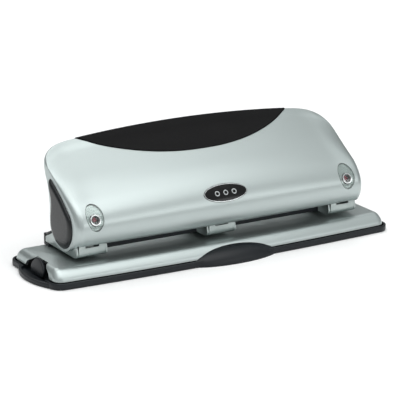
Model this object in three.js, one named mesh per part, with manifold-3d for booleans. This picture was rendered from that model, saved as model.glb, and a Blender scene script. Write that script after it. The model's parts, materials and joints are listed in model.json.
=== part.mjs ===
// Desktop three-hole punch: a long flat base with a chip tray clipped under it, three punch
// heads on the base, and one wide fin-shaped handle that turns on a shaft through the heads.
// Millimetres. X runs along the base, -Y is the front where paper goes in, +Z is up.
// The origin is on the underside of the tray, below the middle punch head.

import * as THREE from 'three';
import { mergeVertices } from 'three/addons/utils/BufferGeometryUtils.js';
import Module from 'manifold-3d';

const wasm = await Module();
wasm.setup();

// ---- Driving dimensions ----------------------------------------------------------------

const HOLE_PITCH = 108; // three-hole filing pattern, 4.25 inches
const EDGE_DISTANCE = 12.7; // centre of a hole to the edge of the sheet
const GAP = 0.3; // air between neighbouring pieces
const RUNNING = 0.06; // radial clearance of pins and shaft in their bores
const OVERCUT = 1; // how far a cutter runs past what it cuts

const BASE_HALF = 145; // tray rim, half the length
const BASE_FRONT = -34.6; // tray rim at its front corners
const BASE_REAR = 43.5;
const BASE_BOW = 4; // how far the front edge bows forward in the middle
const BASE_CORNER = 10;
const TRAY_HEIGHT = 4.8;
const TRAY_FLOOR = 1.8;
const TRAY_WALL = 1.8;
const LIP_RADIUS = 53; // shallow arc of the pull lip on the left end
const LIP_REACH = 6.4; // how far the lip stands out past the rim
const LIP_HALF_WIDTH = 25.4;
const LIP_HEIGHT = 3.8;
const LIP_SILL = 0.6; // how far the opening to the lip stands above the tray floor
const THUMB_HALF_WIDTH = 39.5; // rounded thumb bulge near the middle of the front edge
const THUMB_DEPTH = 15;
const THUMB_HEIGHT = 11.2;
const THUMB_X = 3;
const THUMB_Y = -29.6;

const COVER_TOP = 13.5; // flat top of the base, where the paper slides
const COVER_WALL = 1.6;
const COVER_INSET = 3; // tray rim to the lower edge of the base cover
const NOTCH_HALF_WIDTH = 19; // bell-shaped arch in the left end of the cover for the latch
const NOTCH_TOP = 16.6;
const NOTCH_DEPTH = 5.2;

const LATCH_HALF_WIDTH = 10.5;
const LATCH_TOP = 15.6;
const LATCH_THICKNESS = 2.6;

const HINGE_X = BASE_HALF - 1.9; // tray hinge rod at the right end
const HINGE_Z = 3.2;
const HINGE_ROD_RADIUS = 0.9;
const HINGE_KNUCKLE_RADIUS = 1.8;
const HINGE_HALF_WIDTH = 24;
const HINGE_LUG_HALF_WIDTH = 11;

const PUNCH_Y = 12; // punch axes, behind the shaft
const PUNCH_RADIUS = 3.55; // 7.1 mm hole
const PAPER_GAP = 2.9; // base top to the underside of a head
const PAPER_STOP_Y = PUNCH_Y + EDGE_DISTANCE;

const HUB_Y = -3; // shaft axis
const HUB_Z = 37.5;
const SHAFT_RADIUS = 3;

const SHEET = 1.4; // steel sheet of the heads
const HEAD_HALF_WIDTH = 12.4; // outside of the side plates
const HEAD_FRONT = -21.5;
const HEAD_REAR = 30;
const HEAD_BEND = 4.5;
const HEAD_FACE_TOP = 29;
const SIGHT_SLOT_HALF_WIDTH = 5.5;
const SIGHT_SLOT_HEIGHT = 2;
const SIGHT_SLOT_Z = 25;

const HANDLE_HALF = 123; // outside of the silver end walls
const HANDLE_WALL = 2.2;
const HANDLE_CROWN = 4.3; // how far the ridge falls from the middle to a pad tip
const HANDLE_BOW = 1.4; // how far the front face bows forward in the middle
const RIDGE_ROUND = 24; // length over which the ridge rounds down to an end
const FACE_ROUND = 6; // length over which the front face rounds in to an end
const RIM_RADIUS = 18.9; // round lower part of the end walls, about the shaft
const CAP_RADIUS = 16.9; // round lower part of an end cap
const CAP_DOME = 2.2;
const CAP_ROUND = 0.25; // share of a cap's width that its domed edge takes
const BACK_PANEL_FOOT = 38; // lower edge of the back panel, clear of the heads when pressed

const PAD_HALF = 91; // grip pad, tip to middle
const PAD_FRONT_Y = 7.4; // front edge of the pad in the middle
const PAD_BACK_Z = 76; // back edge of the pad in the middle
const PAD_CURVE = 2.25; // power of the pad's front edge, 2 for a parabola
const PAD_PROUD = 0.5;
const PAD_INLAY = 1; // how deep the pad sits in the shell

const BADGE_HALF_WIDTH = 18.2;
const BADGE_HALF_HEIGHT = 6.9;
const BADGE_Z = 50.4;
const WINDOW_Z = 48.4;
const WINDOW_HALF_WIDTH = 6.6;
const WINDOW_HALF_HEIGHT = 10.2;
const WINDOW_HOLE_RADIUS = 4.4;
const WINDOW_HOLE_DROP = 2; // hole below the middle of its window
const TRIM_PROUD = 0.3; // the badge stands this far out of the shell
const TRIM_INLAY = 1;
const FACE_TILT = 24.5; // degrees that the front face leans back at the badge and windows

// ---- Derived heights -------------------------------------------------------------------

const headBottom = COVER_TOP + PAPER_GAP;
const headFloorTop = headBottom + SHEET;
const headFaceHalf = HEAD_HALF_WIDTH - SHEET - GAP; // front face, between the side plates
const coverBottom = TRAY_HEIGHT + GAP;
const headCentres = { left: -HOLE_PITCH, centre: 0, right: HOLE_PITCH };

// ---- Materials -------------------------------------------------------------------------

const paint = (colour, roughness, metalness) =>
  new THREE.MeshStandardMaterial({ color: colour, roughness, metalness });
const silverPaint = paint(0xc3cbca, 0.38, 0.55);
const blackPlastic = paint(0x2b2f33, 0.45, 0);
const softGrip = paint(0x1e1e20, 0.85, 0);
const zincSteel = paint(0xaab2b1, 0.4, 0.85);
const toolSteel = paint(0x8f9496, 0.3, 0.9);
const springSteel = paint(0x7d8184, 0.35, 0.9);
const glossBlack = paint(0x0e0e10, 0.12, 0);
const clearLens = paint(0xd6e4dc, 0.08, 0);
const redMark = paint(0x8c1e3c, 0.35, 0);

// ---- Solids ----------------------------------------------------------------------------

function solid(geometry) {
  const bare = geometry.clone();
  bare.deleteAttribute('normal');
  bare.deleteAttribute('uv');
  const merged = mergeVertices(bare, 1e-4);
  return new wasm.Manifold(new wasm.Mesh({
    numProp: 3,
    vertProperties: new Float32Array(merged.attributes.position.array),
    triVerts: new Uint32Array(merged.index.array),
  }));
}

const object = new THREE.Group();

function addPiece(name, body, material) {
  const result = body.getMesh();
  const geometry = new THREE.BufferGeometry();
  geometry.setAttribute('position', new THREE.BufferAttribute(result.vertProperties, 3));
  geometry.setIndex(new THREE.BufferAttribute(result.triVerts, 1));
  geometry.computeVertexNormals();
  const mesh = new THREE.Mesh(geometry, material);
  mesh.name = name;
  object.add(mesh);
}

function box(x0, x1, y0, y1, z0, z1) {
  const geometry = new THREE.BoxGeometry(x1 - x0, y1 - y0, z1 - z0);
  geometry.translate((x0 + x1) / 2, (y0 + y1) / 2, (z0 + z1) / 2);
  return solid(geometry);
}

// An upright cylinder at (x, y) from z0 to z1.
function post(x, y, radius, z0, z1, sides = 24) {
  const geometry = new THREE.CylinderGeometry(radius, radius, z1 - z0, sides);
  geometry.rotateX(Math.PI / 2);
  geometry.translate(x, y, (z0 + z1) / 2);
  return solid(geometry);
}

// A cylinder along X at (y, z).
function barX(y, z, radius, x0, x1, sides = 24) {
  const geometry = new THREE.CylinderGeometry(radius, radius, x1 - x0, sides);
  geometry.rotateZ(Math.PI / 2);
  geometry.translate((x0 + x1) / 2, y, z);
  return solid(geometry);
}

// A cylinder along Y at (x, z).
function barY(x, z, radius, y0, y1, sides = 20) {
  const geometry = new THREE.CylinderGeometry(radius, radius, y1 - y0, sides);
  geometry.translate(x, (y0 + y1) / 2, z);
  return solid(geometry);
}

// A flat outline of [y, z] points, swept along X from x0 to x1.
function plateX(points, x0, x1) {
  const shape = new THREE.Shape(points.map(([y, z]) => new THREE.Vector2(y, z)));
  const geometry = new THREE.ExtrudeGeometry(shape, { depth: x1 - x0, bevelEnabled: false });
  geometry.applyMatrix4(new THREE.Matrix4().set(0, 0, 1, x0, 1, 0, 0, 0, 0, 1, 0, 0, 0, 0, 0, 1));
  return solid(geometry);
}

// A closed body through rings of equal point count; each end is filled as a fan about its centre.
function loft(rings) {
  const count = rings[0].length;
  const positions = rings.flat().flatMap((point) => [point.x, point.y, point.z]);
  const indices = [];
  for (let ring = 0; ring < rings.length - 1; ring += 1) {
    for (let step = 0; step < count; step += 1) {
      const next = (step + 1) % count;
      const [a, b] = [ring * count + step, ring * count + next];
      const [c, d] = [a + count, b + count];
      indices.push(a, b, d, a, d, c);
    }
  }
  const addEnd = (ring, reversed) => {
    const centre = new THREE.Vector3();
    ring.points.forEach((point) => centre.addScaledVector(point, 1 / count));
    const middle = positions.length / 3;
    positions.push(centre.x, centre.y, centre.z);
    for (let step = 0; step < count; step += 1) {
      const [a, b] = [ring.start + step, ring.start + ((step + 1) % count)];
      indices.push(...(reversed ? [middle, b, a] : [middle, a, b]));
    }
  };
  addEnd({ points: rings[0], start: 0 }, true);
  addEnd({ points: rings[rings.length - 1], start: (rings.length - 1) * count }, false);
  const geometry = new THREE.BufferGeometry();
  geometry.setAttribute('position', new THREE.Float32BufferAttribute(positions, 3));
  geometry.setIndex(indices);
  return solid(geometry);
}

function arcPoints(centreX, centreY, radius, fromDegrees, toDegrees, steps) {
  return Array.from({ length: steps + 1 }, (_, step) => {
    const angle = THREE.MathUtils.degToRad(fromDegrees + ((toDegrees - fromDegrees) * step) / steps);
    return [centreX + radius * Math.cos(angle), centreY + radius * Math.sin(angle)];
  });
}

// ---- Base ------------------------------------------------------------------------------

// Outline of the base at one height: straight ends and back, round corners, bowed front.
function baseRing(inset, frontInset, rearInset, z) {
  const half = BASE_HALF - inset;
  const front = BASE_FRONT + frontInset;
  const rear = BASE_REAR - rearInset;
  const radius = BASE_CORNER - inset;
  const bowSteps = 12;
  const bow = Array.from({ length: bowSteps - 1 }, (_, step) => {
    const t = (2 * (step + 1)) / bowSteps - 1;
    return [t * (half - radius), front - BASE_BOW * (1 - t * t)];
  });
  return [
    ...arcPoints(half - radius, rear - radius, radius, 0, 90, 4),
    ...arcPoints(-half + radius, rear - radius, radius, 90, 180, 4),
    ...arcPoints(-half + radius, front + radius, radius, 180, 270, 4),
    ...bow,
    ...arcPoints(half - radius, front + radius, radius, 270, 360, 4),
  ].map(([x, y]) => new THREE.Vector3(x, y, z));
}

// Rings of the base cover from its lower edge to its top, all inset by the wall for the inside.
function coverRings(wall) {
  const steps = [
    { rise: 0, end: 0, front: 0, rear: 0 },
    { rise: 0.3, end: 0.3, front: 0.8, rear: 1 },
    { rise: 0.65, end: 1.2, front: 3.4, rear: 3.6 },
    { rise: 0.89, end: 2.8, front: 6, rear: 6.6 },
    { rise: 1, end: 5, front: 8.6, rear: 9.6 },
  ];
  return steps.map(({ rise, end, front, rear }) => baseRing(COVER_INSET + wall + end,
    COVER_INSET + wall + front, COVER_INSET + wall + rear,
    coverBottom + rise * (COVER_TOP - coverBottom) - wall));
}

function thumbBulge(extra) {
  const geometry = new THREE.SphereGeometry(1, 28, 14);
  geometry.scale(THUMB_HALF_WIDTH + extra, THUMB_DEPTH + extra, THUMB_HEIGHT + extra);
  geometry.translate(THUMB_X, THUMB_Y, 0);
  return solid(geometry);
}

// Half of the arch as shares of its half width and of its height: wide at the foot, then drawn
// in to a round tip over the latch.
const archShape = [[1, 0], [0.97, 0.2], [0.86, 0.36], [0.68, 0.5], [0.53, 0.64], [0.41, 0.78],
  [0.27, 0.9], [0.12, 0.975]];

function latchArch(x0, x1) {
  const half = archShape.map(([width, height]) =>
    [width * NOTCH_HALF_WIDTH, coverBottom + height * (NOTCH_TOP - coverBottom)]);
  const otherHalf = half.map(([y, z]) => [-y, z]).reverse();
  return plateX([[NOTCH_HALF_WIDTH, -OVERCUT], ...half, [0, NOTCH_TOP], ...otherHalf,
    [-NOTCH_HALF_WIDTH, -OVERCUT]], x0, x1);
}

function baseCover() {
  const inside = coverRings(COVER_WALL);
  const openMouth = inside[0].map((point) => point.clone().setZ(coverBottom - OVERCUT - COVER_WALL));
  let cover = loft(coverRings(0)).subtract(loft([openMouth, ...inside]));
  cover = cover.subtract(thumbBulge(GAP));
  const coverEnd = BASE_HALF - COVER_INSET;
  cover = cover.subtract(latchArch(-coverEnd - OVERCUT, -coverEnd + NOTCH_DEPTH));
  for (const x of Object.values(headCentres)) {
    cover = cover.subtract(post(x, PUNCH_Y, dieCollarRadius + GAP, COVER_TOP - 5, COVER_TOP + OVERCUT));
    for (const side of [-1, 1]) {
      cover = cover.subtract(
        post(x + side * rivetOffset, rivetY, rivetRadius + GAP, COVER_TOP - 5, COVER_TOP + OVERCUT, 16));
    }
  }
  return cover.add(hingeLug());
}

// A lug under the right end of the cover that holds the middle of the tray's hinge rod.
function hingeLug() {
  const coverEnd = BASE_HALF - COVER_INSET;
  const block = box(coverEnd - COVER_WALL, HINGE_X, -HINGE_LUG_HALF_WIDTH, HINGE_LUG_HALF_WIDTH,
    HINGE_Z - HINGE_KNUCKLE_RADIUS, coverBottom + 1);
  const eye = barY(HINGE_X, HINGE_Z, HINGE_KNUCKLE_RADIUS, -HINGE_LUG_HALF_WIDTH, HINGE_LUG_HALF_WIDTH);
  const bore = barY(HINGE_X, HINGE_Z, HINGE_ROD_RADIUS + RUNNING, -BASE_REAR, BASE_REAR);
  const outside = box(coverEnd, HINGE_X + HINGE_KNUCKLE_RADIUS, -BASE_REAR, BASE_REAR,
    HINGE_Z + HINGE_KNUCKLE_RADIUS, COVER_TOP);
  return block.add(eye).subtract(bore).subtract(outside);
}

// ---- Chip tray -------------------------------------------------------------------------

const floorUnderLug = 1.1; // thickness of the tray's floor below the hinge lug

function trayBody() {
  const outside = loft([baseRing(0.8, 0.8, 0.8, 0), baseRing(0, 0, 0, 1.2), baseRing(0, 0, 0, TRAY_HEIGHT)]);
  const lipCentre = -(BASE_HALF + LIP_REACH - LIP_RADIUS);
  const lip = post(lipCentre, 0, LIP_RADIUS, 0, LIP_HEIGHT, 72)
    .intersect(box(-BASE_HALF - LIP_REACH, -BASE_HALF + TRAY_WALL, -LIP_HALF_WIDTH, LIP_HALF_WIDTH,
      0, COVER_TOP));
  const scoop = post(lipCentre, 0, LIP_RADIUS - TRAY_WALL, TRAY_FLOOR + LIP_SILL, COVER_TOP, 72)
    .intersect(box(-BASE_HALF - LIP_REACH, -BASE_HALF + TRAY_WALL + OVERCUT, -NOTCH_HALF_WIDTH,
      NOTCH_HALF_WIDTH, 0, COVER_TOP));
  const thumb = thumbBulge(0).intersect(
    box(-BASE_HALF, BASE_HALF, -BASE_HALF, THUMB_Y + 2, 0, COVER_TOP));
  const hollow = loft([
    baseRing(TRAY_WALL, TRAY_WALL, TRAY_WALL, TRAY_FLOOR),
    baseRing(TRAY_WALL, TRAY_WALL, TRAY_WALL, TRAY_HEIGHT + OVERCUT),
  ]);
  const knuckle = barY(HINGE_X, HINGE_Z, HINGE_KNUCKLE_RADIUS, -HINGE_HALF_WIDTH, HINGE_HALF_WIDTH)
    .intersect(box(0, BASE_HALF, -BASE_HALF, BASE_HALF, 0, COVER_TOP));
  const lugRoom = box(BASE_HALF - 2 * COVER_INSET, BASE_HALF + OVERCUT,
    -HINGE_LUG_HALF_WIDTH - GAP, HINGE_LUG_HALF_WIDTH + GAP, floorUnderLug, COVER_TOP);
  const rodRoom = barY(HINGE_X, HINGE_Z, HINGE_ROD_RADIUS + RUNNING,
    -HINGE_HALF_WIDTH - OVERCUT, HINGE_HALF_WIDTH + OVERCUT);
  return outside.add(lip).subtract(hollow).subtract(scoop).add(thumb).add(knuckle)
    .subtract(lugRoom).subtract(rodRoom);
}

// ---- Tray latch ------------------------------------------------------------------------

const latchFoot = TRAY_FLOOR + 0.9;
const latchOuterX = -(BASE_HALF - TRAY_WALL) + GAP;
const latchLean = 8; // degrees

// A bullet-shaped spring tab that stands in the arch at the left end and leans inward.
function latchTab() {
  const shoulder = latchFoot + 0.33 * (LATCH_TOP - latchFoot);
  const footInset = 1.5;
  const pointing = 1.25; // 1 for an elliptical nose
  const nose = arcPoints(0, 0, 1, 0, 180, 14).map(([y, z]) => [
    Math.sign(y) * Math.abs(y) ** pointing * LATCH_HALF_WIDTH,
    shoulder + Math.max(z, 0) ** pointing * (LATCH_TOP - shoulder)]);
  const outline = [
    [LATCH_HALF_WIDTH - footInset, latchFoot], ...nose, [footInset - LATCH_HALF_WIDTH, latchFoot]];
  const plate = plateX(outline, 0, LATCH_THICKNESS);
  return plate.translate([0, 0, -latchFoot]).rotate([0, latchLean, 0])
    .translate([latchOuterX, 0, latchFoot]);
}

// ---- Dies, rail and rivets -------------------------------------------------------------

const dieCollarRadius = PUNCH_RADIUS + 3.05;
const diePlateHalf = 12;
const diePlateThickness = 2;
const rivetOffset = 8;
const rivetRadius = 1.6;
const rivetHeadRadius = 2.6;
const rivetY = 27;
const railRear = HEAD_REAR + GAP;
const railFlangeTop = 22.4;
const railFlange = 2.4; // thickness of the rail where it turns up behind the heads
const rivetHeadHeight = 1.1;
const rivetShankEnd = 0.5; // how far the shank runs into each rivet head

function die(x) {
  const plateTop = COVER_TOP - COVER_WALL - GAP;
  const plate = box(x - diePlateHalf, x + diePlateHalf, PUNCH_Y - diePlateHalf, PUNCH_Y + diePlateHalf - 1,
    plateTop - diePlateThickness, plateTop);
  return plate
    .add(post(x, PUNCH_Y, dieCollarRadius, plateTop - 0.5, COVER_TOP, 32))
    .subtract(post(x, PUNCH_Y, PUNCH_RADIUS + RUNNING, 0, COVER_TOP + OVERCUT));
}

// The rail under the back of the heads stops the paper and turns up behind them.
function rearRail() {
  const low = COVER_TOP + GAP;
  const high = headBottom - GAP;
  const outline = [
    [PAPER_STOP_Y, low], [railRear + railFlange, low], [railRear + railFlange, railFlangeTop],
    [railRear, railFlangeTop], [railRear, high], [PAPER_STOP_Y, high],
  ];
  const end = HOLE_PITCH + HEAD_HALF_WIDTH;
  let rail = plateX(outline, -end, end);
  for (const x of Object.values(headCentres)) {
    for (const side of [-1, 1]) {
      rail = rail.subtract(
        post(x + side * rivetOffset, rivetY, rivetRadius + GAP, 0, headBottom + OVERCUT, 16));
    }
  }
  return rail;
}

function rivet(x) {
  const bottom = COVER_TOP - COVER_WALL - GAP;
  const top = headFloorTop + GAP;
  return post(x, rivetY, rivetRadius, bottom - rivetShankEnd, top + rivetShankEnd, 16)
    .add(post(x, rivetY, rivetHeadRadius, bottom - rivetHeadHeight, bottom, 16))
    .add(post(x, rivetY, rivetHeadRadius, top, top + rivetHeadHeight, 16));
}

// ---- Punch heads -----------------------------------------------------------------------

const bossRadius = 7;
const sleeveRadius = PUNCH_RADIUS + 2.45;
const sleeveNeckRadius = PUNCH_RADIUS + 1.25;
const sleeveTop = headFloorTop + 3.2;
const coreFront = PUNCH_Y + sleeveRadius + 0.8;
const coreRear = HEAD_REAR - GAP;
const coreFoot = headFloorTop + 2.2;
const coreLap = 2; // thickness of the block where it laps over the side plates
const lapFront = 26.1; // underside of that lap at the front, just over the plates
const lapRear = 21.2;

// Upper edge of a side plate behind the shaft boss, and its front corner, which stands a little
// lower than the face.
const plateCrest = [[11, 30.4], [16, 27], [HEAD_REAR, 20.6]];
const plateCorner = [
  [HEAD_FRONT + SHEET, HEAD_FACE_TOP - 3.5], [HEAD_FRONT + 2 * SHEET, HEAD_FACE_TOP - 2]];

function headBracket(x) {
  const innerHalf = HEAD_HALF_WIDTH - SHEET;
  const bendY = HEAD_FRONT + HEAD_BEND;
  const bendZ = headBottom + HEAD_BEND;
  const face = plateX([
    ...arcPoints(bendY, bendZ, HEAD_BEND, 270, 180, 6),
    [HEAD_FRONT, HEAD_FACE_TOP], [HEAD_FRONT + SHEET, HEAD_FACE_TOP],
    ...arcPoints(bendY, bendZ, HEAD_BEND - SHEET, 180, 270, 6),
    [bendY + 2, headFloorTop], [bendY + 2, headBottom],
  ], x - headFaceHalf, x + headFaceHalf);
  const [left, right] = [x - HEAD_HALF_WIDTH, x + HEAD_HALF_WIDTH];
  const floor = box(left, right, bendY + 1, HEAD_REAR, headBottom, headFloorTop);
  const side = [
    [HEAD_REAR, headBottom], ...arcPoints(bendY, bendZ, HEAD_BEND, 270, 192, 6),
    ...plateCorner, ...arcPoints(HUB_Y, HUB_Z, bossRadius, 170, 10, 10), ...plateCrest,
  ].reverse();
  let bracket = face.add(floor);
  bracket = bracket.add(plateX(side, x - HEAD_HALF_WIDTH, x - innerHalf));
  bracket = bracket.add(plateX(side, x + innerHalf, x + HEAD_HALF_WIDTH));
  bracket = bracket.subtract(box(x - SIGHT_SLOT_HALF_WIDTH, x + SIGHT_SLOT_HALF_WIDTH,
    HEAD_FRONT - OVERCUT, HEAD_FRONT + 2 * SHEET,
    SIGHT_SLOT_Z - SIGHT_SLOT_HEIGHT / 2, SIGHT_SLOT_Z + SIGHT_SLOT_HEIGHT / 2));
  bracket = bracket.subtract(
    barX(HUB_Y, HUB_Z, SHAFT_RADIUS + RUNNING, left - OVERCUT, right + OVERCUT));
  bracket = bracket.subtract(post(x, PUNCH_Y, sleeveNeckRadius + GAP, 0, headFloorTop + OVERCUT));
  for (const offset of [-rivetOffset, rivetOffset]) {
    bracket = bracket.subtract(
      post(x + offset, rivetY, rivetRadius + GAP, 0, headFloorTop + OVERCUT, 16));
  }
  return bracket;
}

// The moulded block that closes the back of a head and laps over the edges of its side plates.
function headCore(x) {
  const block = plateX([
    [coreFront, coreFoot], [coreRear, coreFoot],
    [coreRear, lapRear + coreLap / 2], [coreFront, lapFront + coreLap / 2],
  ], x - headFaceHalf, x + headFaceHalf);
  const cap = plateX([
    [coreFront, lapFront], [coreRear, lapRear],
    [coreRear, lapRear + coreLap], [coreFront, lapFront + coreLap],
  ], x - HEAD_HALF_WIDTH, x + HEAD_HALF_WIDTH);
  return block.add(cap);
}

function guideSleeve(x) {
  return post(x, PUNCH_Y, sleeveNeckRadius, headBottom, headFloorTop + 1)
    .add(post(x, PUNCH_Y, sleeveRadius, headFloorTop + GAP, sleeveTop))
    .subtract(post(x, PUNCH_Y, PUNCH_RADIUS + RUNNING, 0, sleeveTop + OVERCUT));
}

// ---- Punch pins and springs ------------------------------------------------------------

const pinTop = HUB_Z - 4.5;
const collarRadius = PUNCH_RADIUS + 1.65;
const collarThickness = 1.6;
const pinTip = headBottom + GAP;
const pinHead = 1; // length of the pin above its collar
const pinNotch = 1.4;
const springWire = 0.45;
const springRadius = PUNCH_RADIUS + springWire + 2 * GAP;
const springTurns = 4;
const springStepsPerTurn = 9;

// The tip is notched across, so that it starts the cut at two points.
function punchPin(x) {
  const reach = PUNCH_RADIUS + OVERCUT;
  const notch = plateX([[-reach, -OVERCUT], [reach, -OVERCUT], [0, pinNotch]], -reach, reach)
    .translate([x, PUNCH_Y, pinTip]);
  return post(x, PUNCH_Y, PUNCH_RADIUS, pinTip, pinTop)
    .subtract(notch)
    .add(post(x, PUNCH_Y, collarRadius, pinTop - pinHead - collarThickness, pinTop - pinHead));
}

function returnSpring(x) {
  const low = sleeveTop + GAP + springWire;
  const high = pinTop - pinHead - collarThickness - GAP - springWire;
  const steps = springTurns * springStepsPerTurn;
  const points = Array.from({ length: steps + 1 }, (_, step) => {
    const angle = (step / steps) * springTurns * 2 * Math.PI;
    return new THREE.Vector3(x + springRadius * Math.cos(angle), PUNCH_Y + springRadius * Math.sin(angle),
      low + ((high - low) * step) / steps);
  });
  const section = new THREE.Shape();
  section.absarc(0, 0, springWire, 0, 2 * Math.PI, false);
  const geometry = new THREE.ExtrudeGeometry(section, {
    steps, curveSegments: 3, bevelEnabled: false, extrudePath: new THREE.CatmullRomCurve3(points),
  });
  return solid(geometry);
}

// ---- Shaft and rockers -----------------------------------------------------------------

const rockerHalf = 3.2;
const rockerRadius = 6.5;
const fingerRadius = 2; // round tip that bears on a pin

// A rocker sits on the shaft, and its finger rests on the head of a punch pin.
function rocker(x) {
  const tip = [PUNCH_Y, pinTop + GAP + fingerRadius];
  const finger = [
    [HUB_Y - 1, HUB_Z + rockerRadius - 0.4], [HUB_Y, HUB_Z - rockerRadius + 0.2],
    [PUNCH_Y - collarRadius - 1.3, pinTop + 3 * GAP],
    ...arcPoints(...tip, fingerRadius, 270, 400, 6),
  ];
  return barX(HUB_Y, HUB_Z, rockerRadius, x - rockerHalf, x + rockerHalf, 28)
    .add(plateX(finger, x - rockerHalf, x + rockerHalf))
    .subtract(barX(HUB_Y, HUB_Z, SHAFT_RADIUS + RUNNING, x - rockerHalf - OVERCUT,
      x + rockerHalf + OVERCUT));
}

// ---- Handle ----------------------------------------------------------------------------

// The handle, its trim and its inner frame are drawn about a hub at this [y, z], and are then
// moved so that it lies on the shaft.
const drawnHub = [-3, 37.5];

function onShaft(body) {
  return body.translate([0, HUB_Y - drawnHub[0], HUB_Z - drawnHub[1]]);
}

// Sections of the handle as [y, z] pairs, from the front lip over the ridge and down the back.
// Each middle point turns into the end point beside it over the rounded end of the handle.
const sectionPoints = [
  { middle: [-24.6, 25.8], end: [-18.6, 25.6] },
  { middle: [-28.6, 30.4], end: [-21.2, 30] },
  { middle: [-30.7, 36.4], end: [-22.4, 36] },
  { middle: [-30.4, 42.6], end: [-21.8, 42.2] },
  { middle: [-27, 50], end: [-18, 49] },
  { middle: [-20.6, 57.4], end: [-12.4, 54.9] },
  { middle: [-11, 65], end: [-5, 60.2] },
  { middle: [1, 72.6], end: [2, 64.9] },
  { middle: [14, 80.2], end: [8.6, 69.8] },
  { middle: [26, 87.2], end: [14.4, 73.6] },
  { middle: [33, 92.2], end: [18, 75.4] },
  { middle: [36.2, 93.8], end: [20.4, 75.2] },
  { middle: [38.4, 92], end: [21.4, 72.8] },
  { middle: [37.4, 87.5], end: [20.6, 68.4] },
  { middle: [32, 77.5], end: [17.6, 62] },
  { middle: [26, 67], end: [16, 57] },
  { middle: [21.6, 57], end: [15.2, 51] },
  { middle: [19.4, 47], end: [15.2, 45] },
  { middle: [19, 39], end: [16, 38.5] },
  { middle: [17.2, 31.4], end: [15.2, 31] },
  { middle: [10, 25.2], end: [10, 25] },
  { middle: [-2, 22.6], end: [-2, 21.8] },
  { middle: [-14, 23], end: [-12.4, 22.8] },
];
const ridgePoint = sectionPoints[11];
const sectionSteps = 38;
const ridgeFoot = 55; // height where the ridge's rounding starts to take over from the face's
const ridgeTop = 88;

// The section at one station along X, drawn in by the wall thickness.
function handleRing(x, wall) {
  const reach = (Math.abs(x) * HANDLE_HALF) / (HANDLE_HALF - wall);
  const controls = sectionPoints.map(({ middle, end }) => {
    const height = THREE.MathUtils.smoothstep(middle[1], ridgeFoot, ridgeTop);
    const round = THREE.MathUtils.lerp(FACE_ROUND, RIDGE_ROUND, height);
    const along = Math.max(reach - (HANDLE_HALF - round), 0) / round;
    const blend = 1 - Math.sqrt(Math.max(1 - along ** 2, 0));
    const fall = HANDLE_CROWN * Math.min(reach / PAD_HALF, 1.15) ** 2;
    const share = Math.max(middle[1] - drawnHub[1], 0) / (ridgePoint.middle[1] - drawnHub[1]);
    const bow = middle[0] < 0 ? HANDLE_BOW * Math.min(reach / HOLE_PITCH, 1) ** 2 : 0;
    const y = THREE.MathUtils.lerp(middle[0] + bow, end[0], blend);
    const z = THREE.MathUtils.lerp(middle[1] - fall * share, end[1], blend);
    return new THREE.Vector3(0, y, z);
  });
  const curve = new THREE.CatmullRomCurve3(controls, true, 'centripetal');
  const points = curve.getPoints(sectionSteps).slice(0, -1);
  return points.map((point, index) => {
    const before = points[(index + points.length - 1) % points.length];
    const after = points[(index + 1) % points.length];
    const inward = new THREE.Vector2(after.z - before.z, before.y - after.y).normalize();
    return new THREE.Vector3(x, point.y + inward.x * wall, point.z + inward.y * wall);
  }).reverse();
}

function handleShape(wall) {
  const half = HANDLE_HALF - wall;
  const flat = half - RIDGE_ROUND;
  const stations = [0, 0.5, 1].map((share) => share * flat);
  for (const share of [0.35, 0.6, 0.76, 0.88, 0.96, 1]) {
    stations.push(flat + share * RIDGE_ROUND);
  }
  const left = stations.slice(1).map((x) => -x).reverse();
  return loft([...left, ...stations].map((x) => handleRing(x, wall)));
}

const outerShape = handleShape(0);
const innerShape = handleShape(HANDLE_WALL);
const wallInside = HANDLE_HALF - HANDLE_WALL;

// What lies in a region between two depths under the handle's skin; above the skin is negative.
function skin(top, bottom, region) {
  return handleShape(top).subtract(handleShape(bottom)).intersect(region);
}

// A straight prism with an [x, z] outline that runs along Y.
function plateY(points, y0, y1) {
  const shape = new THREE.Shape(points.map(([x, z]) => new THREE.Vector2(x, z)));
  const geometry = new THREE.ExtrudeGeometry(shape, { depth: y1 - y0, bevelEnabled: false });
  geometry.rotateX(Math.PI / 2);
  geometry.translate(0, y1, 0);
  return solid(geometry);
}

// A straight prism with an [x, y] outline that runs along Z.
function plateZ(points, z0, z1) {
  const shape = new THREE.Shape(points.map(([x, y]) => new THREE.Vector2(x, y)));
  const geometry = new THREE.ExtrudeGeometry(shape, { depth: z1 - z0, bevelEnabled: false });
  geometry.translate(0, 0, z0);
  return solid(geometry);
}

// The back of the handle, where a separate panel closes the shell: its reach in from the back,
// as [y, z], and its upper corners, as [in from the end, z].
const behindHandle = 70; // past the back of the ridge
const backTop = 86;
const backReach = [[34, backTop], [24, 70], [16, 58], [12, 48]];
const backCorner = [[0, 60], [6, 68], [16, 77], [28, backTop - 2]];

function backRegion(grow) {
  const foot = BACK_PANEL_FOOT - grow;
  const [crest, ...reach] = backReach;
  const across = plateX([
    [reach[2][0], foot], [behindHandle, foot], [behindHandle, crest[1] + grow],
    [crest[0], crest[1] + grow], reach[0], [reach[1][0] - grow, reach[1][1]], reach[2],
  ], -HANDLE_HALF, HANDLE_HALF);
  const half = HANDLE_HALF - FACE_ROUND + grow;
  const rightCorner = backCorner.map(([inset, z]) => [half - inset, z < backTop - 2 ? z : z + grow]);
  const leftCorner = rightCorner.map(([x, z]) => [-x, z]).reverse();
  return across.intersect(
    plateY([[-half, 0], [half, 0], ...rightCorner, ...leftCorner], 0, behindHandle));
}

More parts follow.
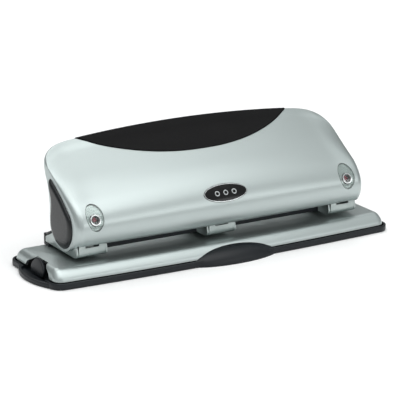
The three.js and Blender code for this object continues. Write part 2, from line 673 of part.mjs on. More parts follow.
// The top of the ridge, where the grip pad is let in: a lens seen from above and from behind.
function padRegion(grow) {
  const half = PAD_HALF + 2 * grow;
  const steps = 24;
  const across = Array.from({ length: steps + 1 }, (_, step) => (2 * step) / steps - 1);
  const ridgeY = 36;
  const backRise = 12; // from the middle of the pad's back edge to its tips
  const [below, above] = [60, 120]; // well under and over the ridge
  const seenFromAbove = [
    [half, behindHandle], [-half, behindHandle],
    ...across.map((t) => [t * half, PAD_FRONT_Y - grow + (ridgeY - PAD_FRONT_Y) * Math.abs(t) ** PAD_CURVE]),
  ];
  const seenFromBehind = [
    [half, above], [-half, above],
    ...across.map((t) => [t * half, PAD_BACK_Z - grow + backRise * t * t]),
  ];
  return plateZ(seenFromAbove, below, above)
    .intersect(plateY(seenFromBehind, -behindHandle, behindHandle));
}

const beltPoint = sectionPoints[3].middle; // the badge and windows lean back from this height

// Depth of the front face at a height between the lower and the upper end of the badge.
function faceY(z) {
  return beltPoint[0] + (z - beltPoint[1]) * Math.tan(THREE.MathUtils.degToRad(FACE_TILT));
}

// An oval prism that stands square on the front face at (x, z).
function facePrism(x, z, halfWidth, halfHeight, sides = 24) {
  const through = 16; // long enough to pass right through the wall
  const geometry = new THREE.CylinderGeometry(1, 1, through, sides);
  geometry.scale(halfWidth, 1, halfHeight);
  return solid(geometry).rotate([-FACE_TILT, 0, 0]).translate([x, faceY(z), z]);
}

const windowHoleZ = WINDOW_Z - WINDOW_HOLE_DROP;

function windowPrism(side, grow) {
  return facePrism(side * HOLE_PITCH, WINDOW_Z, WINDOW_HALF_WIDTH + grow, WINDOW_HALF_HEIGHT + grow);
}

// Outline of an end cap: round about the shaft below, drawn out to a tip along the fin above.
function capOutline(grow) {
  const radius = CAP_RADIUS + grow;
  const curve = new THREE.CatmullRomCurve3([
    ...arcPoints(...drawnHub, radius, 152, 370, 9),
    [13 + grow, 45], [12 + grow, 51], [12.6 + grow, 57], [14.8 + grow, 63], [16 + grow, 67],
    [14 + grow / 2, 68.6 + grow], [9, 66 + grow], [3, 62.4 + grow], [-4 - grow / 2, 57.8 + grow],
    [-11 - grow * 0.7, 52 + grow * 0.7],
  ].map(([y, z]) => new THREE.Vector3(0, y, z)), true, 'centripetal');
  return curve.getPoints(40).slice(0, -1).map((point) => [point.y, point.z]);
}

const shaftSeat = 1.4; // depth of the shaft's blind hole in an end cap

// A cap fills the opening in an end wall, domes out past it and carries one end of the shaft.
function endCap(side) {
  const outline = capOutline(-GAP);
  const [middleY, middleZ] = [drawnHub[0] + 2, drawnHub[1] + 6]; // the dome's edge draws in to here
  const ring = (x, scale) => outline.map(([y, z]) =>
    new THREE.Vector3(x, middleY + (y - middleY) * scale, middleZ + (z - middleZ) * scale));
  const depth = HANDLE_WALL - GAP;
  const rings = [ring(0, 1), ring(depth, 1)];
  for (const degrees of [30, 60, 90]) {
    const angle = THREE.MathUtils.degToRad(degrees);
    rings.push(ring(depth + CAP_DOME * Math.sin(angle), 1 - CAP_ROUND * (1 - Math.cos(angle))));
  }
  const cap = loft(rings)
    .subtract(barX(...drawnHub, SHAFT_RADIUS + RUNNING, -OVERCUT, shaftSeat))
    .translate([wallInside + GAP, 0, 0]);
  return side > 0 ? cap : cap.mirror([1, 0, 0]);
}

const frontLip = [[-22.8, 31], [-24.3, 26]]; // inside of the front wall, down to its lower edge
const padRoom = skin(-OVERCUT, PAD_INLAY + GAP, padRegion(GAP));

function handleBack() {
  return outerShape.subtract(innerShape).intersect(backRegion(0)).subtract(padRoom);
}

function handleCover() {
  const openBelow = plateX([
    [frontLip[1][0], 0], [behindHandle, 0], [behindHandle, BACK_PANEL_FOOT],
    [8, BACK_PANEL_FOOT], ...frontLip,
  ], -wallInside, wallInside);
  let cover = outerShape.subtract(innerShape).subtract(openBelow);
  for (const side of [-1, 1]) {
    const [near, far] = [wallInside, HANDLE_HALF].map((x) => side * x).sort((a, b) => a - b);
    cover = cover.add(barX(...drawnHub, RIM_RADIUS, near, far, 48));
    cover = cover.subtract(plateX(capOutline(0), near - OVERCUT, far + OVERCUT));
    cover = cover.subtract(
      facePrism(side * HOLE_PITCH, windowHoleZ, WINDOW_HOLE_RADIUS, WINDOW_HOLE_RADIUS, 24));
    cover = cover.subtract(skin(-OVERCUT, TRIM_INLAY + GAP, windowPrism(side, GAP)));
  }
  const badgeRoom = facePrism(0, BADGE_Z, BADGE_HALF_WIDTH + GAP, BADGE_HALF_HEIGHT + GAP, 40);
  return cover
    .subtract(backRegion(GAP))
    .subtract(padRoom)
    .subtract(skin(-OVERCUT, TRIM_INLAY + GAP, badgeRoom));
}

// A soft ring and a red stud behind each window.
const markRadius = 1.9;
const markRingRadius = WINDOW_HOLE_RADIUS - 2 * GAP;
const markFront = TRIM_INLAY + 6 * GAP; // depths under the skin
const markBack = 6;
const markRingBack = 5;

function onFace(body, side) {
  return body.rotate([-FACE_TILT, 0, 0])
    .translate([side * HOLE_PITCH, faceY(windowHoleZ) + HANDLE_BOW, windowHoleZ]);
}

// A round bar along the face normal, from one depth under the skin to another.
function alongFaceNormal(radius, front, back, sides) {
  const geometry = new THREE.CylinderGeometry(radius, radius, back - front, sides);
  geometry.translate(0, (front + back) / 2, 0);
  return solid(geometry);
}

function sightMark(side) {
  return onFace(alongFaceNormal(markRadius, markFront, markBack, 20), side);
}

function sightRing(side) {
  const ring = alongFaceNormal(markRingRadius, markFront, markRingBack, 28)
    .subtract(alongFaceNormal(markRadius + GAP, 0, markBack, 28));
  return onFace(ring, side);
}

// The moulded frame inside the handle: a beam over the shaft, and an apron between the heads.
const beamThickness = 3;
const [beamFront, beamRear] = [-16, 11];
const [apronFront, apronRear] = [-11, -9];
const apronFoot = 18;

function innerFrame() {
  const beamLow = drawnHub[1] + bossRadius + 2;
  const besideHead = HEAD_HALF_WIDTH + 3;
  const end = wallInside - GAP;
  let frame = box(-end, end, beamFront, beamRear, beamLow, beamLow + beamThickness);
  for (const side of [-1, 1]) {
    const [near, far] = [besideHead, HOLE_PITCH - besideHead].map((x) => side * x).sort((a, b) => a - b);
    frame = frame.add(box(near, far, apronFront, apronRear, apronFoot, beamLow + 1));
  }
  return frame;
}

// ---- Pieces ----------------------------------------------------------------------------

addPiece('base_cover', baseCover(), silverPaint);
addPiece('chip_tray', trayBody(), blackPlastic);
addPiece('tray_latch', latchTab(), blackPlastic);
const hingeRod = barY(HINGE_X, HINGE_Z, HINGE_ROD_RADIUS, -HINGE_HALF_WIDTH + GAP, HINGE_HALF_WIDTH - GAP);
addPiece('tray_hinge_rod', hingeRod, toolSteel);
addPiece('rear_rail', rearRail(), blackPlastic);
for (const [side, x] of Object.entries(headCentres)) {
  addPiece(`head_${side}`, headBracket(x), zincSteel);
  addPiece(`head_core_${side}`, headCore(x), blackPlastic);
  addPiece(`die_${side}`, die(x), toolSteel);
  addPiece(`guide_sleeve_${side}`, guideSleeve(x), toolSteel);
  addPiece(`punch_pin_${side}`, punchPin(x), toolSteel);
  addPiece(`return_spring_${side}`, returnSpring(x), springSteel);
  addPiece(`rocker_${side}`, rocker(x), zincSteel);
  addPiece(`rivet_${side}_1`, rivet(x - rivetOffset), toolSteel);
  addPiece(`rivet_${side}_2`, rivet(x + rivetOffset), toolSteel);
}

const shaftEnd = wallInside + shaftSeat;
addPiece('pivot_shaft', barX(HUB_Y, HUB_Z, SHAFT_RADIUS, -shaftEnd, shaftEnd), toolSteel);
addPiece('inner_frame', onShaft(innerFrame()), blackPlastic);
addPiece('handle_cover', onShaft(handleCover()), silverPaint);
addPiece('handle_back', onShaft(handleBack()), blackPlastic);
addPiece('grip_pad', onShaft(skin(-PAD_PROUD, PAD_INLAY, padRegion(0))), softGrip);
const badgePrism = facePrism(0, BADGE_Z, BADGE_HALF_WIDTH, BADGE_HALF_HEIGHT, 40);
addPiece('badge', onShaft(skin(-TRIM_PROUD, TRIM_INLAY, badgePrism)), glossBlack);
for (const [name, side] of [['left', -1], ['right', 1]]) {
  addPiece(`end_cap_${name}`, onShaft(endCap(side)), blackPlastic);
  addPiece(`window_lens_${name}`, onShaft(skin(0, TRIM_INLAY, windowPrism(side, 0))), clearLens);
  addPiece(`sight_ring_${name}`, onShaft(sightRing(side)), blackPlastic);
  addPiece(`sight_mark_${name}`, onShaft(sightMark(side)), redMark);
}

export default object;
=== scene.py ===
# Desktop three-hole punch: silver lacquered base and fin-shaped handle, black chip tray and
# grip, three zinc-plated punch heads. Metres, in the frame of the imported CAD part; sizes in the
# sections below are millimetres until MM turns them.
import json
import math

import bpy
import numpy as np
from mathutils import Matrix, Vector

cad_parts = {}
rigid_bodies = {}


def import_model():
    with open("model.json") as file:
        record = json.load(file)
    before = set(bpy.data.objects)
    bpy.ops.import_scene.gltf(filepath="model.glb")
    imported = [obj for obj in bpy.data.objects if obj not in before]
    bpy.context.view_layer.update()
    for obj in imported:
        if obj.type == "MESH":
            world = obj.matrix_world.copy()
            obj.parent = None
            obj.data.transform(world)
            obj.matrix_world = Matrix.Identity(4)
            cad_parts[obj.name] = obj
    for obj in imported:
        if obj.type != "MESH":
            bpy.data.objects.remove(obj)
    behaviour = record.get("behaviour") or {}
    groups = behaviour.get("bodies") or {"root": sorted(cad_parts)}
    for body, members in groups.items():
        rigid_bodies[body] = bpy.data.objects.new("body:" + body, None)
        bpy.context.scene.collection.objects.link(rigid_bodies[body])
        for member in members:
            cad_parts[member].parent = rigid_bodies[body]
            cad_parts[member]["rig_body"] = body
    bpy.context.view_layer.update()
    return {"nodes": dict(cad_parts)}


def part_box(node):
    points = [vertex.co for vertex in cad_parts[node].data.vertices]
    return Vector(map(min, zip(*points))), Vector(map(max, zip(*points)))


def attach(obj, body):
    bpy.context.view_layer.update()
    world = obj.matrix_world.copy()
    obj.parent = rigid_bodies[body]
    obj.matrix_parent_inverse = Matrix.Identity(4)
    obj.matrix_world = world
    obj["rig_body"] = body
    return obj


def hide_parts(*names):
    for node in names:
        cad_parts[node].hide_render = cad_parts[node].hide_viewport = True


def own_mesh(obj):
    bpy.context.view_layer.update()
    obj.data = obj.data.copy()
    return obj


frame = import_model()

MM = 0.001

# ---- Camera ----------------------------------------------------------------------------------
# A long lens from the left front, a little above the handle. The small shift only places the
# punch in the frame.
CAMERA_AZIMUTH = math.radians(-30.42)
CAMERA_ELEVATION = math.radians(16.2)
CAMERA_DISTANCE = 1.49017
CAMERA_AIM = Vector((0, 0, 0.045))

camera = bpy.data.objects.new("camera", bpy.data.cameras.new("camera"))
bpy.context.scene.collection.objects.link(camera)
camera.data.sensor_width = 36
camera.data.lens = 179.02
camera.data.shift_x = -0.018
camera.data.shift_y = -0.0233
camera.data.clip_start = 0.1
camera.data.clip_end = 20
toward_camera = Vector((
    math.sin(CAMERA_AZIMUTH) * math.cos(CAMERA_ELEVATION),
    -math.cos(CAMERA_AZIMUTH) * math.cos(CAMERA_ELEVATION),
    math.sin(CAMERA_ELEVATION)))
camera.location = CAMERA_AIM + toward_camera * CAMERA_DISTANCE
camera.rotation_euler = toward_camera.to_track_quat("Z", "Y").to_euler()
bpy.context.scene.camera = camera
bpy.context.scene.view_settings.view_transform = "Standard"

# ---- Studio floor and light ------------------------------------------------------------------
# A white paper sweep under a dome of light that is brightest above the front and dim behind. A
# broad soft box above lights the slope of the handle, a low one in front puts the pale band on
# its belly, and one behind keeps the far paper white.


def linear(colour):
    """An sRGB hex colour as a linear RGBA value."""
    parts = [int(colour[at:at + 2], 16) / 255 for at in (1, 3, 5)]
    return (*[c / 12.92 if c <= 0.04045 else ((c + 0.055) / 1.055) ** 2.4 for c in parts], 1)


def add(tree, kind, inputs=None, **settings):
    """Adds one shader node; an input is given as a value or as the socket that feeds it."""
    node = tree.nodes.new("ShaderNode" + kind)
    for name, value in settings.items():
        setattr(node, name, value)
    for name, value in (inputs or {}).items():
        if isinstance(value, bpy.types.NodeSocket):
            tree.links.new(value, node.inputs[name])
        else:
            node.inputs[name].default_value = value
    return node


def new_tree(name):
    """An empty material of that name, and its node tree."""
    material = bpy.data.materials.new(name)
    material.use_nodes = True
    material.node_tree.nodes.clear()
    return material, material.node_tree


def soft_box(name, place, aim, width, height, power):
    """A rectangular area light that stands at a place and faces its aim."""
    light = bpy.data.objects.new(name, bpy.data.lights.new(name, "AREA"))
    bpy.context.scene.collection.objects.link(light)
    light.data.shape = "RECTANGLE"
    light.data.size, light.data.size_y = width, height
    light.data.energy = power
    light.location = place
    light.rotation_euler = (Vector(place) - Vector(aim)).to_track_quat("Z", "Y").to_euler()


bpy.ops.object.select_all(action="DESELECT")
bpy.ops.mesh.primitive_plane_add(size=12, location=(0, 0, 0))
floor = bpy.context.active_object
floor.name = "studio_floor"
sweep_paper, tree = new_tree("white_sweep_paper")
fibres = add(tree, "TexNoise", {
    "Vector": add(tree, "TexCoord").outputs["Object"], "Scale": 400.0, "Detail": 3.0})
paper = add(tree, "Mix", {
    "Factor": fibres.outputs["Fac"], "A": linear("#fdfdfd"), "B": linear("#ffffff")},
    data_type="RGBA")
matte = add(tree, "BsdfDiffuse", {"Color": paper.outputs["Result"]})
add(tree, "OutputMaterial", {"Surface": matte.outputs["BSDF"]})
floor.data.materials.append(sweep_paper)

world = bpy.data.worlds.new("studio")
bpy.context.scene.world = world
world.use_nodes = True
sky = world.node_tree
sky.nodes.clear()
BRIGHTEST = (-0.1, -0.45, 0.89)  # where the dome is brightest
tilt = add(sky, "VectorMath", {
    0: add(sky, "TexCoord").outputs["Generated"], 1: BRIGHTEST}, operation="DOT_PRODUCT")
lift = add(sky, "MapRange", {
    "Value": tilt.outputs["Value"], "From Min": -0.25, "From Max": 0.85, "To Min": 0.2,
    "To Max": 0.62}, interpolation_type="SMOOTHSTEP")
glow = add(sky, "Background", {"Color": linear("#fbfefe"), "Strength": lift.outputs["Result"]})
add(sky, "OutputWorld", {"Surface": glow.outputs["Background"]})
soft_box("box_above", (-0.1, -0.35, 1.6), (0, 0, 0.03), 2.0, 1.4, 16.0)
soft_box("box_front", (0.7, -1.7, 0.75), (0, 0, 0.05), 1.6, 0.5, 4.4)
soft_box("box_behind", (0.35, 1.3, 1.6), (0.3, 1.1, 0), 1.8, 1.2, 12.0)

# ---- Chip tray -------------------------------------------------------------------------------
# Injection-moulded ABS with a fine spark-eroded texture. A shallow pan that closes the underside
# of the base; its rim shows all round, with a thumb bulge in front and a pull lip on the left.
BASE_HALF, BASE_FRONT, BASE_REAR = 145.0, -34.6, 43.5
BASE_BOW, BASE_CORNER = 4.0, 10.0
TRAY_HEIGHT, TRAY_WALL, TRAY_FLOOR = 4.8, 1.8, 1.8
LIP_RADIUS, LIP_REACH, LIP_HALF_WIDTH = 53.0, 6.4, 25.4
LIP_FOOT, LIP_HEIGHT, LIP_SILL = 0.1, 3.8, 0.6
THUMB_HALF_WIDTH, THUMB_DEPTH, THUMB_HEIGHT = 39.5, 15.0, 11.2
THUMB_X, THUMB_Y = 3.0, -29.6
THUMB_KEEP_Y = THUMB_Y + 2  # the bulge stands in front of here
NICK_HALF_WIDTH, NICK_DEPTH = 0.9, 1.5
SCOOP_HALF_WIDTH = 19.0
HINGE_X, HINGE_Z = BASE_HALF - 1.9, 3.2
KNUCKLE_RADIUS, KNUCKLE_END, KNUCKLE_LENGTH, LUG_ROOM_HALF_WIDTH = 1.8, 24, 12.7, 11.3
FLOOR_UNDER_LUG = 1.1
AIR = 0.3  # between neighbouring pieces
CLEAR_TOP = 20  # above everything on the base that is cut


def arc(x, y, radius, start, end, steps):
    """Points of a circular arc, from one angle in degrees to another."""
    angles = np.radians(np.linspace(start, end, steps + 1))
    return [(x + radius * math.cos(a), y + radius * math.sin(a)) for a in angles]


def base_ring(inset, front_inset, rear_inset, z):
    """Outline of the base at one height: straight ends and back, round corners, bowed front."""
    half, radius = BASE_HALF - inset, BASE_CORNER - inset
    front, rear = BASE_FRONT + front_inset, BASE_REAR - rear_inset
    bow = [(t * (half - radius), front - BASE_BOW * (1 - t * t))
           for t in np.linspace(-1, 1, 49)[1:-1]]
    straight = [(t * (half - radius), rear) for t in np.linspace(1, -1, 25)[1:-1]]
    outline = (arc(half - radius, rear - radius, radius, 0, 90, 8) + straight
               + arc(radius - half, rear - radius, radius, 90, 180, 8)
               + arc(radius - half, front + radius, radius, 180, 270, 8) + bow
               + arc(half - radius, front + radius, radius, 270, 360, 8))
    return [(x, y, z) for x, y in outline]


def through_rings(name, rings):
    """A closed solid drawn through rings of points: a rod with as many sides as a ring has
    points, subdivided along its length, whose rows are then laid on the rings."""
    sides, rows = len(rings[0]), len(rings)
    bpy.ops.object.select_all(action="DESELECT")
    bpy.ops.mesh.primitive_cylinder_add(vertices=sides, radius=1, depth=1, end_fill_type="NGON")
    piece = bpy.context.active_object
    piece.name = piece.data.name = name
    mesh = piece.data
    if rows > 2:
        bpy.ops.object.mode_set(mode="EDIT")
        bpy.ops.mesh.select_mode(type="EDGE")
        bpy.ops.mesh.select_all(action="DESELECT")
        bpy.ops.object.mode_set(mode="OBJECT")
        for edge in mesh.edges:
            low, high = (mesh.vertices[v].co.z for v in edge.vertices)
            edge.select = abs(high - low) > 0.5
        bpy.ops.object.mode_set(mode="EDIT")
        bpy.ops.mesh.subdivide(number_cuts=rows - 2)
        bpy.ops.object.mode_set(mode="OBJECT")
    at = np.zeros(len(mesh.vertices) * 3)
    mesh.vertices.foreach_get("co", at)
    at = at.reshape(-1, 3)
    row = np.rint((at[:, 2] + 0.5) * (rows - 1)).astype(int)
    turn = (np.arctan2(at[:, 1], at[:, 0]) - math.pi / 2) / (2 * math.pi)
    column = np.rint(turn * sides).astype(int) % sides
    mesh.vertices.foreach_set("co", (np.array(rings)[row, column] * MM).ravel())
    bpy.ops.object.mode_set(mode="EDIT")
    bpy.ops.mesh.select_all(action="SELECT")
    bpy.ops.mesh.normals_make_consistent(inside=False)
    bpy.ops.object.mode_set(mode="OBJECT")
    return piece


def prism(name, outline, axis, start, end):
    """A straight bar along X, Y or Z whose flat outline is given in the other two."""
    place = {
        "X": lambda u, v, w: (w, u, v),
        "Y": lambda u, v, w: (u, w, v),
        "Z": lambda u, v, w: (u, v, w),
    }[axis]
    return through_rings(name, [[place(u, v, w) for u, v in outline] for w in (start, end)])


def run_modifier(piece, kind, **settings):
    """Adds one modifier to a piece and applies it."""
    modifier = piece.modifiers.new(kind.lower(), kind)
    for name, value in settings.items():
        setattr(modifier, name, value)
    bpy.ops.object.select_all(action="DESELECT")
    bpy.context.view_layer.objects.active = piece
    piece.select_set(True)
    bpy.ops.object.modifier_apply(modifier=modifier.name)


def combine(piece, operation, *others):
    """Cuts others from a piece, joins them to it or keeps what they share, and uses them up."""
    for other in others:
        run_modifier(piece, "BOOLEAN", operation=operation, solver="MANIFOLD", object=other)
        bpy.data.objects.remove(other)
    return piece


def round_edges(piece, width, angle=35, segments=3):
    """Rounds the edges sharper than an angle, by a width in millimetres."""
    run_modifier(piece, "BEVEL", width=width * MM, segments=segments, limit_method="ANGLE",
                 angle_limit=math.radians(angle), miter_outer="MITER_ARC")
    return piece


def finish_piece(piece, material, body, *nodes, smooth=35, slot=None):
    """The finish, smooth shading, the body a piece moves with and the CAD nodes it stands for."""
    piece.data.materials.clear()
    piece.data.materials.append(material)
    piece.data.polygons.foreach_set("material_index", [0] * len(piece.data.polygons))
    bpy.ops.object.select_all(action="DESELECT")
    bpy.context.view_layer.objects.active = piece
    piece.select_set(True)
    bpy.ops.object.shade_smooth_by_angle(angle=math.radians(smooth))
    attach(piece, body)
    if nodes:
        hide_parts(*nodes)


def moulded(name, deep, pale, roughness, grain, depth, **shader):
    """Moulded plastic: a fine eroded grain, cloudy gloss and slight clouding of the colour."""
    material, tree = new_tree(name)
    place = add(tree, "TexCoord").outputs["Object"]
    cloud = add(tree, "TexNoise", {"Vector": place, "Scale": 1 / (28 * MM), "Detail": 4.0})
    grains = add(tree, "TexNoise", {"Vector": place, "Scale": 1 / (grain * MM), "Detail": 3.0})
    colour = add(tree, "Mix", {
        "Factor": cloud.outputs["Fac"], "A": linear(deep), "B": linear(pale)}, data_type="RGBA")
    gloss = add(tree, "MapRange", {
        "Value": grains.outputs["Fac"], "From Min": 0.3, "From Max": 0.7,
        "To Min": roughness - 0.05, "To Max": roughness + 0.07})
    bump = add(tree, "Bump", {
        "Height": grains.outputs["Fac"], "Strength": 0.6, "Distance": depth * MM})
    plastic = add(tree, "BsdfPrincipled", {
        "Base Color": colour.outputs["Result"], "Roughness": gloss.outputs["Result"],
        "Normal": bump.outputs["Normal"], **shader})
    add(tree, "OutputMaterial", {"Surface": plastic.outputs["BSDF"]})
    return material


# Black ABS off a spark-eroded tool: a satin grey-black that turns paler where light grazes it.
eroded_abs = moulded("spark_eroded_black_abs", "#0f1317", "#171c21", 0.4, 0.5, 0.05,
                     **{"IOR": 1.5, "Specular IOR Level": 0.32})

tray_rings = [
    base_ring(0.9, 0.9, 0.9, 0), base_ring(0.4, 0.4, 0.4, 0.3), base_ring(0, 0, 0, 1.1),
    base_ring(0, 0, 0, 4.1), base_ring(0.1, 0.1, 0.1, 4.5), base_ring(0.4, 0.4, 0.4, TRAY_HEIGHT),
    base_ring(1.4, 1.4, 1.4, TRAY_HEIGHT), base_ring(1.7, 1.7, 1.7, 4.6),
    base_ring(TRAY_WALL, TRAY_WALL, TRAY_WALL, 4.2),
    base_ring(TRAY_WALL, TRAY_WALL, TRAY_WALL, TRAY_FLOOR)]
tray = through_rings("tray_moulding", tray_rings)
lip_centre = LIP_RADIUS - BASE_HALF - LIP_REACH
lip_angle = math.degrees(math.asin(LIP_HALF_WIDTH / LIP_RADIUS))
lip_outline = arc(lip_centre, 0, LIP_RADIUS, 180 - lip_angle, 180 + lip_angle, 48) + [
    (TRAY_WALL - BASE_HALF - 0.2, -LIP_HALF_WIDTH), (TRAY_WALL - BASE_HALF - 0.2, LIP_HALF_WIDTH)]
lip = round_edges(prism("lip", lip_outline, "Z", LIP_FOOT, LIP_HEIGHT), 0.6, angle=50)


def thumb_ball(grow, name="thumb"):
    """The ellipsoid that the thumb bulge and the hollow around it are cut from."""
    bpy.ops.object.select_all(action="DESELECT")
    bpy.ops.mesh.primitive_uv_sphere_add(segments=96, ring_count=48, radius=1)
    ball = bpy.context.active_object
    ball.name = name
    size = [(s + grow) * MM for s in (THUMB_HALF_WIDTH, THUMB_DEPTH, THUMB_HEIGHT)]
    ball.data.transform(Matrix.Translation((THUMB_X * MM, THUMB_Y * MM, 0))
                        @ Matrix.Diagonal((*size, 1)))
    return ball


thumb_keep = prism("thumb_keep", [(-60, -60), (60, -60), (60, THUMB_KEEP_Y), (-60, THUMB_KEEP_Y)],
                   "Z", 0, CLEAR_TOP)
thumb = combine(thumb_ball(0), "INTERSECT", thumb_keep)
scoop_angle = math.degrees(math.asin(SCOOP_HALF_WIDTH / (LIP_RADIUS - TRAY_WALL)))
scoop_back = TRAY_WALL + 1 - BASE_HALF
scoop_outline = arc(lip_centre, 0, LIP_RADIUS - TRAY_WALL, 180 - scoop_angle, 180 + scoop_angle,
                    40) + [(scoop_back, -SCOOP_HALF_WIDTH), (scoop_back, SCOOP_HALF_WIDTH)]
scoop = round_edges(prism("scoop", scoop_outline, "Z", TRAY_FLOOR + LIP_SILL, CLEAR_TOP), 0.5,
                    angle=50)
combine(tray, "UNION", lip)
combine(tray, "DIFFERENCE", scoop)
nick_outline = [(-NICK_HALF_WIDTH, THUMB_HEIGHT + 1), (0, THUMB_HEIGHT - NICK_DEPTH),
                (NICK_HALF_WIDTH, THUMB_HEIGHT + 1)]
nick = prism("nick", nick_outline, "Y", THUMB_Y - 5, THUMB_Y + 4)
combine(thumb, "DIFFERENCE", nick)
combine(tray, "UNION", thumb)
room_near, room_far = BASE_HALF - 6, BASE_HALF + 1
hinge_room = prism("hinge_room", [
    (room_near, -LUG_ROOM_HALF_WIDTH), (room_far, -LUG_ROOM_HALF_WIDTH),
    (room_far, LUG_ROOM_HALF_WIDTH), (room_near, LUG_ROOM_HALF_WIDTH)],
    "Z", FLOOR_UNDER_LUG, CLEAR_TOP)
combine(tray, "DIFFERENCE", hinge_room)
for name, near in (("front", -KNUCKLE_END), ("rear", LUG_ROOM_HALF_WIDTH)):
    knuckle = prism("knuckle_" + name, arc(HINGE_X, HINGE_Z, KNUCKLE_RADIUS, 0, 345, 23),
                    "Y", near, near + KNUCKLE_LENGTH)
    combine(tray, "UNION", knuckle)
finish_piece(tray, eroded_abs, "tray", "chip_tray", slot="black_plastic")

# ---- Base cover ------------------------------------------------------------------------------
# Pressed shell in silver lacquer over the tray, with soft shoulders, an arch at the left end
# for the latch and a hollow in front that follows the thumb bulge.
COVER_TOP, COVER_WALL, COVER_INSET = 13.5, 1.6, 3.0
COVER_FOOT = TRAY_HEIGHT + AIR
NOTCH_HALF_WIDTH, NOTCH_TOP, NOTCH_DEPTH = 19.0, 16.6, 5.2
# Height, then how far the ends, the front and the back have drawn in there.
COVER_PROFILE = [(COVER_FOOT, 0, 0, 0), (7.6, 0.3, 0.8, 1), (10.6, 1.2, 3.4, 3.6),
                 (12.6, 2.8, 6, 6.6), (COVER_TOP, 5, 8.6, 9.6)]


def rounded_profile(points, steps):
    """A smooth run of points through a profile."""
    points = np.array([points[0], *points, points[-1]], float)
    run = []
    for at in range(1, len(points) - 2):
        a, b, c, d = points[at - 1:at + 3]
        for t in np.linspace(0, 1, steps, endpoint=False):
            run.append(0.5 * (2 * b + (c - a) * t + (2 * a - 5 * b + 4 * c - d) * t ** 2
                              + (3 * b - a - 3 * c + d) * t ** 3))
    return run + [points[-1]]


# Silver metallic lacquer: aluminium flake under a satin clear coat, with faint orange peel.
silver_lacquer, tree = new_tree("satin_silver_lacquer")
place = add(tree, "TexCoord").outputs["Object"]
flake = add(tree, "TexNoise", {"Vector": place, "Scale": 1 / (0.35 * MM), "Detail": 2.0})
mist = add(tree, "TexNoise", {"Vector": place, "Scale": 1 / (60 * MM), "Detail": 3.0})
peel = add(tree, "TexNoise", {"Vector": place, "Scale": 1 / (1.6 * MM), "Detail": 1.0})
flakes = add(tree, "Mix", {
    "Factor": flake.outputs["Fac"], "A": linear("#a9b3b2"), "B": linear("#bfc8c7")},
    data_type="RGBA")
silver = add(tree, "Mix", {
    "Factor": mist.outputs["Fac"], "A": flakes.outputs["Result"], "B": linear("#b7c0bf")},
    data_type="RGBA")
satin = add(tree, "MapRange", {
    "Value": flake.outputs["Fac"], "From Min": 0.3, "From Max": 0.7,
    "To Min": 0.34, "To Max": 0.42})
skin_bump = add(tree, "Bump", {
    "Height": peel.outputs["Fac"], "Strength": 0.25, "Distance": 0.02 * MM})
lacquer = add(tree, "BsdfPrincipled", {
    "Base Color": silver.outputs["Result"], "Metallic": 0.85, "Roughness": satin.outputs["Result"],
    "Coat Weight": 0.1, "Coat Roughness": 0.3, "Normal": skin_bump.outputs["Normal"]})
add(tree, "OutputMaterial", {"Surface": lacquer.outputs["BSDF"]})

profile = rounded_profile(COVER_PROFILE, steps=5)
outer_rings = [base_ring(COVER_INSET + e, COVER_INSET + f, COVER_INSET + r, z)
               for z, e, f, r in profile if COVER_INSET + e < BASE_CORNER]
cover = through_rings("base_shell", outer_rings)
hollow_rings = [base_ring(COVER_INSET + COVER_WALL, COVER_INSET + COVER_WALL,
                          COVER_INSET + COVER_WALL, 2)]
for z, e, f, r in profile:
    wall = COVER_INSET + COVER_WALL
    if wall + e < BASE_CORNER:
        hollow_rings.append(base_ring(wall + e, wall + f, wall + r, z - COVER_WALL))
combine(cover, "DIFFERENCE", through_rings("hollow", hollow_rings), thumb_ball(AIR, "thumb_room"))
cover_end = BASE_HALF - COVER_INSET
# Half of the arch as shares of its half width and height: wide at the foot, drawn in to a tip.
ARCH = [(1, 0), (0.97, 0.2), (0.86, 0.36), (0.68, 0.5), (0.53, 0.64), (0.41, 0.78), (0.27, 0.9),
        (0.12, 0.975), (0, 1)]
half_arch = [(w * NOTCH_HALF_WIDTH, COVER_FOOT + h * (NOTCH_TOP - COVER_FOOT))
             for w, h in rounded_profile(ARCH, steps=5)]
arch = ([(NOTCH_HALF_WIDTH, 0)] + half_arch + [(-y, z) for y, z in half_arch[-2::-1]]
        + [(-NOTCH_HALF_WIDTH, 0)])
combine(cover, "DIFFERENCE", prism("arch", arch, "X", -cover_end - 3, -cover_end + NOTCH_DEPTH))
PUNCH_Y, RIVET_Y, RIVET_OFFSET = 12.0, 27.0, 8.0
DIE_HOLE, RIVET_HOLE, HOLE_FOOT = 6.9, 1.9, 9
HEADS = {"left": -108.0, "centre": 0.0, "right": 108.0}
for x in HEADS.values():
    holes = [(x, PUNCH_Y, DIE_HOLE), (x - RIVET_OFFSET, RIVET_Y, RIVET_HOLE),
             (x + RIVET_OFFSET, RIVET_Y, RIVET_HOLE)]
    for hole_x, hole_y, radius in holes:
        hole = arc(hole_x, hole_y, radius, 0, 352.5, 47)
        combine(cover, "DIFFERENCE", prism("hole", hole, "Z", HOLE_FOOT, CLEAR_TOP))
finish_piece(cover, silver_lacquer, "base", "base_cover", smooth=40, slot="silver_paint_steel")

